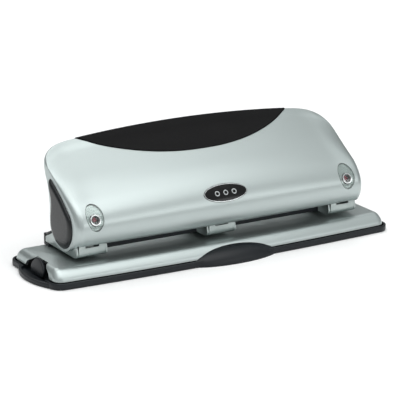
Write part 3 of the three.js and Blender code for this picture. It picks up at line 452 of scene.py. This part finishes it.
# ---- Tray latch ------------------------------------------------------------------------------
# A bullet-shaped spring tab moulded in the same black ABS. It stands in the arch, leans in a
# little and is pressed to let the tray swing down.
LATCH_HALF_WIDTH, LATCH_TOP, LATCH_THICKNESS, LATCH_LEAN = 10.5, 15.6, 2.6, 8.0
LATCH_FOOT, LATCH_POINTING = TRAY_FLOOR + 0.9, 1.25
LATCH_SHOULDER = LATCH_FOOT + 0.33 * (LATCH_TOP - LATCH_FOOT)
latch_x = TRAY_WALL - BASE_HALF + AIR
nose = [(math.copysign(abs(y) ** LATCH_POINTING, y) * LATCH_HALF_WIDTH,
         LATCH_SHOULDER + max(z, 0) ** LATCH_POINTING * (LATCH_TOP - LATCH_SHOULDER))
        for y, z in arc(0, 0, 1, 0, 180, 40)]
foot_half = LATCH_HALF_WIDTH - 1.5
tab_outline = nose + [(-foot_half, LATCH_FOOT), (foot_half, LATCH_FOOT)]
tab = round_edges(prism("latch_tab", tab_outline, "X", 0, LATCH_THICKNESS), 0.9,
                  angle=50, segments=4)
pivot = Vector((latch_x, 0, LATCH_FOOT)) * MM
tab.data.transform(Matrix.Translation(pivot) @ Matrix.Rotation(math.radians(LATCH_LEAN), 4, "Y")
                   @ Matrix.Translation((0, 0, -LATCH_FOOT * MM)))
finish_piece(tab, eroded_abs, "latch", "tray_latch", slot="black_plastic")

# ---- Steel and rail hardware -----------------------------------------------------------------
# Bent, turned and moulded hardware whose CAD form is right: each gets the small broken edge of
# the real piece and its own finish.


def plated(name, dull, bright, roughness, streak, **shader):
    """Metal with a drawn grain along X, dulled in patches as plating is."""
    material, tree = new_tree(name)
    place = add(tree, "TexCoord").outputs["Object"]
    drawn = add(tree, "Mapping", {"Vector": place, "Scale": (0.15, 1.0, 1.0)})
    grain = add(tree, "TexNoise", {
        "Vector": drawn.outputs["Vector"], "Scale": 1 / (streak * MM), "Detail": 4.0})
    patches = add(tree, "TexNoise", {"Vector": place, "Scale": 1 / (9 * MM), "Detail": 5.0})
    colour = add(tree, "Mix", {
        "Factor": patches.outputs["Fac"], "A": linear(dull), "B": linear(bright)},
        data_type="RGBA")
    gloss = add(tree, "MapRange", {
        "Value": grain.outputs["Fac"], "From Min": 0.3, "From Max": 0.7,
        "To Min": roughness - 0.06, "To Max": roughness + 0.08})
    bump = add(tree, "Bump", {
        "Height": grain.outputs["Fac"], "Strength": 0.3, "Distance": 0.02 * MM})
    metal = add(tree, "BsdfPrincipled", {
        "Base Color": colour.outputs["Result"], "Metallic": 1.0,
        "Roughness": gloss.outputs["Result"], "Normal": bump.outputs["Normal"], **shader})
    add(tree, "OutputMaterial", {"Surface": metal.outputs["BSDF"]})
    return material


# Clear zinc plating on pressed steel: pale, slightly green-grey, softly clouded.
zinc_plate = plated("clear_zinc_plated_steel", "#98a2a0", "#b9c2c0", 0.36, 0.6)
# Ground and hardened tool steel: darker and glossier, with turning marks.
tool_steel = plated("ground_tool_steel", "#7d8285", "#a0a5a8", 0.26, 0.3)


def dressed(node, label, finish, edge, angle=40):
    """A merged copy of a CAD node with its edges broken, in its own finish."""
    source = frame["nodes"][node]
    piece = bpy.data.objects.new(f"{node}_{label}", source.data.copy())
    bpy.context.scene.collection.objects.link(piece)
    bpy.ops.object.select_all(action="DESELECT")
    bpy.context.view_layer.objects.active = piece
    piece.select_set(True)
    bpy.ops.object.mode_set(mode="EDIT")
    bpy.ops.mesh.select_all(action="SELECT")
    bpy.ops.mesh.remove_doubles(threshold=0.01 * MM)
    bpy.ops.mesh.dissolve_limited(angle_limit=math.radians(0.5))
    bpy.ops.object.mode_set(mode="OBJECT")
    if edge:
        round_edges(piece, edge, angle, segments=2)
    finish_piece(piece, finish, source["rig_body"], node, smooth=angle)
    return piece


dressed("rear_rail", "moulded", eroded_abs, 0.3)
dressed("tray_hinge_rod", "ground", tool_steel, 0.15)
for side in HEADS:
    dressed(f"head_{side}", "plated", zinc_plate, 0.25)
    dressed(f"head_core_{side}", "moulded", eroded_abs, 0.35)
    dressed(f"die_{side}", "ground", tool_steel, 0.15)
    dressed(f"guide_sleeve_{side}", "turned", tool_steel, 0.2)
    dressed(f"punch_pin_{side}", "ground", tool_steel, 0.15)
    dressed(f"rocker_{side}", "plated", zinc_plate, 0.25)
    for number in (1, 2):
        dressed(f"rivet_{side}_{number}", "set", zinc_plate, 0.3)
dressed("pivot_shaft", "ground", tool_steel, 0.3)
dressed("inner_frame", "moulded", eroded_abs, 0.4)

# ---- Return springs --------------------------------------------------------------------------
# Coiled hard-drawn wire under the collar of each punch pin, which lifts the pin after each stroke;
# the coil is built at one fixed length and does not shorten.
SPRING_RADIUS, WIRE_RADIUS, SPRING_TURNS = 4.6, 0.45, 4
WIRE_SIDES, STEPS_PER_TURN = 14, 32
for side, x in HEADS.items():
    low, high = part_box(f"return_spring_{side}")
    bpy.ops.object.select_all(action="DESELECT")
    bpy.ops.mesh.primitive_circle_add(vertices=WIRE_SIDES, radius=WIRE_RADIUS * MM,
                                      rotation=(math.pi / 2, 0, 0))
    spring = bpy.context.active_object
    bpy.ops.object.transform_apply(rotation=True)
    spring.data.transform(Matrix.Translation((SPRING_RADIUS * MM, 0, 0)))
    spring.name = spring.data.name = f"spring_{side}"
    rise = high.z - low.z - 2 * WIRE_RADIUS * MM
    steps = SPRING_TURNS * STEPS_PER_TURN
    run_modifier(spring, "SCREW", steps=steps, render_steps=steps,
                 angle=SPRING_TURNS * 2 * math.pi, screw_offset=rise, axis="Z")
    bpy.ops.object.mode_set(mode="EDIT")
    bpy.ops.mesh.select_all(action="SELECT")
    bpy.ops.mesh.fill_holes(sides=0)
    bpy.ops.mesh.normals_make_consistent(inside=False)
    bpy.ops.object.mode_set(mode="OBJECT")
    spring.data.transform(Matrix.Translation((x * MM, PUNCH_Y * MM, low.z + WIRE_RADIUS * MM)))
    finish_piece(spring, tool_steel, frame["nodes"][f"return_spring_{side}"]["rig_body"],
                 f"return_spring_{side}", slot="spring_steel")
    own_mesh(spring)

# ---- Handle cover ----------------------------------------------------------------------------
# One deep moulded shell in the same silver lacquer: a bellied front face that rises to a ridge
# and rounds down to each end, open underneath, with recesses for pad, badge and windows.
HANDLE_HALF, HANDLE_WALL, HANDLE_CROWN, HANDLE_BOW = 123.0, 2.2, 4.3, 1.4
RIDGE_ROUND, FACE_ROUND = 24.0, 6.0
RIDGE_FOOT, RIDGE_TOP, RIDGE_Z = 55.0, 88.0, 93.8
HUB_Y, HUB_Z = -3.0, 37.5
RIM_RADIUS, CAP_RADIUS = 18.9, 16.9
BACK_FOOT, PAD_HALF = 38.0, 91.0
# The section from the front lip over the ridge and down the back, as [y, z] in the middle and
# then at the ends.
SECTION = [
    ((-24.6, 25.8), (-18.6, 25.6)), ((-28.6, 30.4), (-21.2, 30)), ((-30.7, 36.4), (-22.4, 36)),
    ((-30.4, 42.6), (-21.8, 42.2)), ((-27, 50), (-18, 49)), ((-20.6, 57.4), (-12.4, 54.9)),
    ((-11, 65), (-5, 60.2)), ((1, 72.6), (2, 64.9)), ((14, 80.2), (8.6, 69.8)),
    ((26, 87.2), (14.4, 73.6)), ((33, 92.2), (18, 75.4)), ((36.2, 93.8), (20.4, 75.2)),
    ((38.4, 92), (21.4, 72.8)), ((37.4, 87.5), (20.6, 68.4)), ((32, 77.5), (17.6, 62)),
    ((26, 67), (16, 57)), ((21.6, 57), (15.2, 51)), ((19.4, 47), (15.2, 45)),
    ((19, 39), (16, 38.5)), ((17.2, 31.4), (15.2, 31)), ((10, 25.2), (10, 25)),
    ((-2, 22.6), (-2, 21.8)), ((-14, 23), (-12.4, 22.8))]


def closed_curve(points, steps):
    """A closed centripetal Catmull-Rom curve through points, so many steps to a span."""
    points = np.array(points, float)
    run = []
    for at in range(len(points)):
        a, b, c, d = (points[(at + k) % len(points)] for k in (-1, 0, 1, 2))
        ab, bc, cd = (max(np.linalg.norm(q - p) ** 0.5, 1e-4) for p, q in ((a, b), (b, c), (c, d)))
        start = ((b - a) / ab - (c - a) / (ab + bc) + (c - b) / bc) * bc
        end = ((c - b) / bc - (d - b) / (bc + cd) + (d - c) / cd) * bc
        for t in np.linspace(0, 1, steps, endpoint=False):
            run.append(b + start * t + (3 * (c - b) - 2 * start - end) * t ** 2
                       + (2 * (b - c) + start + end) * t ** 3)
    return np.array(run)


def handle_ring(x, depth):
    """The handle's section at one station, drawn in by a depth under the outer skin."""
    reach = abs(x) * HANDLE_HALF / (HANDLE_HALF - depth)
    controls = []
    for (mid_y, mid_z), (end_y, end_z) in SECTION:
        height = min(max((mid_z - RIDGE_FOOT) / (RIDGE_TOP - RIDGE_FOOT), 0), 1)
        height = height * height * (3 - 2 * height)
        rounding = FACE_ROUND + (RIDGE_ROUND - FACE_ROUND) * height
        along = min(max(reach - (HANDLE_HALF - rounding), 0) / rounding, 1)
        mix = 1 - math.sqrt(max(1 - along ** 2, 0))
        fall = HANDLE_CROWN * min(reach / PAD_HALF, 1.15) ** 2
        share = max(mid_z - HUB_Z, 0) / (RIDGE_Z - HUB_Z)
        bow = HANDLE_BOW * min(reach / HEADS["right"], 1) ** 2 if mid_y < 0 else 0
        controls.append(((mid_y + bow) * (1 - mix) + end_y * mix,
                         (mid_z - fall * share) * (1 - mix) + end_z * mix))
    curve = closed_curve(controls, steps=8)
    along = np.roll(curve, -1, axis=0) - np.roll(curve, 1, axis=0)
    inward = np.column_stack((along[:, 1], -along[:, 0]))
    inward /= np.linalg.norm(inward, axis=1)[:, None]
    ring = curve + inward * depth
    return np.column_stack((np.full(len(ring), x), ring))[::-1]


def handle_form(name, depth):
    """The whole handle as a solid, at a depth under its outer skin."""
    half = HANDLE_HALF - depth
    stations = set(np.linspace(0, half - RIDGE_ROUND, 13))
    stations |= {half - RIDGE_ROUND + RIDGE_ROUND * math.sin(math.radians(a))
                 for a in range(10, 81, 10)}
    stations |= {half - FACE_ROUND + FACE_ROUND * math.sin(math.radians(a))
                 for a in range(0, 91, 10)}
    ordered = sorted(stations)
    keep = [ordered[0]] + [b for a, b in zip(ordered, ordered[1:]) if b - a > 0.05]
    keep = [-x for x in keep[:0:-1]] + keep
    return through_rings(name, [handle_ring(x, depth) for x in keep])


def between(name, top, bottom, region):
    """What lies in a region between two depths under the handle's skin."""
    piece = combine(handle_form(name, top), "INTERSECT", region)
    return combine(piece, "DIFFERENCE", handle_form("below", bottom))


def back_region(grow):
    """The hollow side of the fin, where a separate panel closes the shell."""
    foot, top = BACK_FOOT - grow, 86 + grow
    across = prism("across", [(12, foot), (60, foot), (60, top), (34, top), (24, 70),
                              (16 - grow, 58), (12, 48)], "X", -HANDLE_HALF, HANDLE_HALF)
    half = HANDLE_HALF - FACE_ROUND + grow
    outline = [(-half, 0), (half, 0), (half, 60), (half - 6, 68), (half - 16, 77),
               (half - 28, 84 + grow), (28 - half, 84 + grow), (16 - half, 77), (6 - half, 68),
               (-half, 60)]
    return combine(across, "INTERSECT", prism("along", outline, "Y", 0, 70))


def pad_region(grow):
    """The top of the ridge: a lens seen from above, and from behind."""
    half, ridge_y, front, back = PAD_HALF + 2 * grow, 36, 7.4, 76
    pointing, end_rise = 2.25, 12
    run = np.linspace(-1, 1, 97)
    above = [(half, 60), (-half, 60)] + [
        (t * half, front - grow + (ridge_y - front) * abs(t) ** pointing) for t in run]
    behind = [(half, 120), (-half, 120)] + [(t * half, back - grow + end_rise * t * t)
                                               for t in run]
    return combine(prism("above", above, "Z", 60, 110), "INTERSECT",
                   prism("behind", behind, "Y", -10, 70))


FACE_TILT = math.radians(24.5)
BELT_Y, BELT_Z = -30.4, 42.6  # the face leans back from here


def face_y(z):
    """Depth of the front face at a height around the badge and windows."""
    return BELT_Y + (z - BELT_Z) * math.tan(FACE_TILT)


def face_bar(name, x, z, half_width, half_height, sides=72, near=-8, far=8):
    """An oval bar that stands square on the front face."""
    rings = []
    for depth in (near, far):
        ring = []
        for u, v in arc(0, 0, 1, 0, 360 - 360 / sides, sides - 1):
            along, up = u * half_width, v * half_height
            ring.append((x + along,
                         face_y(z) + depth * math.cos(FACE_TILT) + up * math.sin(FACE_TILT),
                         z - depth * math.sin(FACE_TILT) + up * math.cos(FACE_TILT)))
        rings.append(ring)
    return through_rings(name, rings)


def cap_outline(grow):
    """Outline of an end cap: round about the shaft, drawn out to a tip along the fin."""
    points = arc(HUB_Y, HUB_Z, CAP_RADIUS + grow, 152, 370, 9) + [
        (13 + grow, 45), (12 + grow, 51), (12.6 + grow, 57), (14.8 + grow, 63), (16 + grow, 67),
        (14 + grow / 2, 68.6 + grow), (9, 66 + grow), (3, 62.4 + grow),
        (-4 - grow / 2, 57.8 + grow), (-11 - grow * 0.7, 52 + grow * 0.7)]
    return closed_curve(points, steps=5)


PAD_PROUD, PAD_INLAY, TRIM_PROUD, TRIM_INLAY = 0.5, 1.0, 0.3, 1.0
BADGE_Z, BADGE_HALF_WIDTH, BADGE_HALF_HEIGHT = 50.4, 18.2, 6.9
WINDOW_Z, WINDOW_HALF_WIDTH, WINDOW_HALF_HEIGHT = 48.4, 6.6, 10.2
WINDOW_HOLE, WINDOW_HOLE_DROP = 4.4, 2.0
WINDOW_X = HEADS["right"]
inside_end = HANDLE_HALF - HANDLE_WALL

shell = handle_form("handle_shell", 0)
hollow = handle_form("hollow", HANDLE_WALL)
open_below = prism("open_below", [(-24.3, 0), (70, 0), (70, BACK_FOOT), (8, BACK_FOOT),
                                  (-22.8, 31), (-24.3, 26)], "X", -inside_end, inside_end)
combine(shell, "DIFFERENCE", hollow, open_below)
for side in (-1, 1):
    near, far = sorted((side * inside_end, side * HANDLE_HALF))
    rim = prism("rim", arc(HUB_Y, HUB_Z, RIM_RADIUS, 0, 357, 119), "X", near, far)
    combine(shell, "UNION", rim)
    combine(shell, "DIFFERENCE", prism("cap_room", cap_outline(0), "X", near - 1, far + 1))
    combine(shell, "DIFFERENCE",
            face_bar("sight_hole", side * WINDOW_X, WINDOW_Z - WINDOW_HOLE_DROP, WINDOW_HOLE,
                     WINDOW_HOLE))
    window_room = face_bar("window_room", side * WINDOW_X, WINDOW_Z, WINDOW_HALF_WIDTH + AIR,
                           WINDOW_HALF_HEIGHT + AIR)
    combine(shell, "DIFFERENCE", between("window_skin", -1, TRIM_INLAY + AIR, window_room))
# A fine moulded line on the front lip, beside the middle of the face.
LINE_X, LINE_HALF_WIDTH, LINE_DEPTH = 3, 0.3, 0.45
centre_line = prism("centre_line", [(-32, 24.2), (-26.5, 24.2), (-29.6, 29.6), (-32, 29.6)],
                    "X", LINE_X - LINE_HALF_WIDTH, LINE_X + LINE_HALF_WIDTH)
combine(centre_line, "DIFFERENCE", handle_form("under_line", LINE_DEPTH))
combine(shell, "DIFFERENCE", centre_line)
badge_room = face_bar("badge_room", 0, BADGE_Z, BADGE_HALF_WIDTH + AIR, BADGE_HALF_HEIGHT + AIR)
combine(shell, "DIFFERENCE", between("badge_skin", -1, TRIM_INLAY + AIR, badge_room),
        between("pad_skin", -1, PAD_INLAY + AIR, pad_region(AIR)), back_region(AIR))
finish_piece(shell, silver_lacquer, "handle", "handle_cover", smooth=40,
             slot="silver_paint_plastic")

# ---- Handle back panel -----------------------------------------------------------------------
# Black ABS panel snapped into the hollow side of the fin.
panel = combine(handle_form("back_panel", 0), "INTERSECT", back_region(0))
combine(panel, "DIFFERENCE", handle_form("behind_panel", HANDLE_WALL),
        between("pad_skin", -1, PAD_INLAY + AIR, pad_region(AIR)))
finish_piece(panel, eroded_abs, "handle", "handle_back", smooth=40, slot="black_plastic")

# ---- Grip pad --------------------------------------------------------------------------------
# Soft thermoplastic rubber overmoulded on the ridge; a dull black that takes almost no shine.
soft_rubber = moulded("matt_black_grip_rubber", "#0b0b0c", "#121213", 0.7, 0.8, 0.08,
                      **{"IOR": 1.45, "Specular IOR Level": 0.14})
pad = between("grip", -PAD_PROUD, PAD_INLAY, pad_region(0))
finish_piece(pad, soft_rubber, "handle", "grip_pad", smooth=40, slot="soft_grip")

# ---- Badge -----------------------------------------------------------------------------------
# A gloss-black plate let into the front face, with a sign of three rings on it and a silver rim
# that is partly a border and partly a painted highlight along the edge of its recess.
RING_OFFSETS, RING_RADIUS, RING_WIDTH, BADGE_RIM_HIGHLIGHT_WIDTH, BADGE_RIM_HIGHLIGHT_INSET = (-7.2, 0, 7.2), 2.0, 0.7, 0.4, 0.15
FOIL_PROUD, FOIL_SUNK = 0.08, 0.05
gloss_black = moulded("polished_black_acrylic", "#040405", "#070708", 0.12, 2.5, 0.004,
                      **{"IOR": 1.49, "Specular IOR Level": 0.35})
badge = between("name_plate", -TRIM_PROUD, TRIM_INLAY,
                face_bar("badge_bar", 0, BADGE_Z, BADGE_HALF_WIDTH, BADGE_HALF_HEIGHT, 96))
finish_piece(badge, gloss_black, "handle", "badge", smooth=40, slot="gloss_black")

# Bright hot-stamped foil, a hair proud of the plate: three rings, and a thin rim that is partly a
# painted highlight. The same bright material makes the painted highlight ring on each window.
silver_foil_and_highlight = plated("hot_stamped_foil_and_painted_highlight", "#c4c8c9", "#e2e6e6", 0.25, 1.0)


def foil_and_highlight_band(name, x, z, half_width, half_height, width, proud):
    """An oval band of bright foil on a trim piece that stands so far out of the handle's face; on
    the windows, and in part on the badge's rim, it is a painted highlight.
    """
    bar = face_bar(name, x, z, half_width, half_height, 96)
    combine(bar, "DIFFERENCE", face_bar("inside", x, z, half_width - width,
                                        half_height - width, 96, -9, 9))
    foil = between(name + "_foil", -proud - FOIL_PROUD, FOIL_SUNK - proud, bar)
    finish_piece(foil, silver_foil_and_highlight, "handle", smooth=40, slot="silver_paint_plastic")


# The bright rim round the plate is partly a painted highlight of the recess edge.
foil_and_highlight_band("badge_rim_and_highlight", 0, BADGE_Z, BADGE_HALF_WIDTH - BADGE_RIM_HIGHLIGHT_INSET, BADGE_HALF_HEIGHT - BADGE_RIM_HIGHLIGHT_INSET,
          BADGE_RIM_HIGHLIGHT_WIDTH, TRIM_PROUD)
for offset in RING_OFFSETS:
    foil_and_highlight_band("badge_ring", offset, BADGE_Z, RING_RADIUS, RING_RADIUS, RING_WIDTH, TRIM_PROUD)

# ---- End caps --------------------------------------------------------------------------------
# Domed covers over the ends of the shaft, moulded in smoother black ABS with a soft gloss.
cap_abs = moulded("satin_black_cap_abs", "#0f1214", "#15191b", 0.3, 0.9, 0.02,
                  **{"IOR": 1.5, "Specular IOR Level": 0.4})
CAP_DOME, CAP_ROUND = 2.2, 0.25
for name, side in (("left", -1), ("right", 1)):
    outline = cap_outline(-AIR)
    centre = np.array((HUB_Y + 2, HUB_Z + 6))
    rows = [(0, 1), (HANDLE_WALL - AIR, 1)]
    for angle in np.radians(np.linspace(0, 90, 12)[1:]):
        rows.append((HANDLE_WALL - AIR + CAP_DOME * math.sin(angle),
                     1 - CAP_ROUND * (1 - math.cos(angle))))
    rings = [[(side * (inside_end + AIR + out), *(centre + (point - centre) * scale))
              for point in outline] for out, scale in rows]
    cap = through_rings(f"cap_{name}", rings)
    finish_piece(cap, cap_abs, "handle", f"end_cap_{name}", smooth=40, slot="black_plastic")

# ---- Sight windows ---------------------------------------------------------------------------
# A clear acrylic oval in each end of the face, with a bright circle on it that is a painted
# highlight of the lens edge, and behind it a black ring and a red stud.
LENS_HIGHLIGHT_RADIUS, LENS_HIGHLIGHT_WIDTH = 4.1, 0.9
clear_acrylic, tree = new_tree("clear_acrylic_window")
place = add(tree, "TexCoord").outputs["Object"]
ripple = add(tree, "TexNoise", {"Vector": place, "Scale": 1 / (6 * MM), "Detail": 1.0})
bump = add(tree, "Bump", {"Height": ripple.outputs["Fac"], "Strength": 0.2, "Distance": 0.02 * MM})
acrylic = add(tree, "BsdfPrincipled", {
    "Base Color": linear("#f2f7f5"), "Roughness": 0.04, "IOR": 1.45, "Transmission Weight": 0.97,
    "Normal": bump.outputs["Normal"]})
add(tree, "OutputMaterial", {"Surface": acrylic.outputs["BSDF"]})
red_stud = moulded("glossy_red_styrene", "#8a1230", "#a81f40", 0.2, 1.2, 0.01,
                   **{"IOR": 1.55})
for name, side in (("left", -1), ("right", 1)):
    bar = face_bar("lens_bar", side * WINDOW_X, WINDOW_Z, WINDOW_HALF_WIDTH, WINDOW_HALF_HEIGHT)
    lens = between(f"window_{name}", 0, TRIM_INLAY, bar)
    finish_piece(lens, clear_acrylic, "handle", f"window_lens_{name}", smooth=40,
                 slot="clear_lens")
    # A bright foil ring on each window: a painted highlight where the lens edge catches the light.
    foil_and_highlight_band(f"bezel_{name}", side * WINDOW_X, WINDOW_Z - WINDOW_HOLE_DROP, LENS_HIGHLIGHT_RADIUS,
              LENS_HIGHLIGHT_RADIUS, LENS_HIGHLIGHT_WIDTH, 0)
    dressed(f"sight_ring_{name}", "moulded", eroded_abs, 0.25)
    dressed(f"sight_mark_{name}", "moulded", red_stud, 0.5)
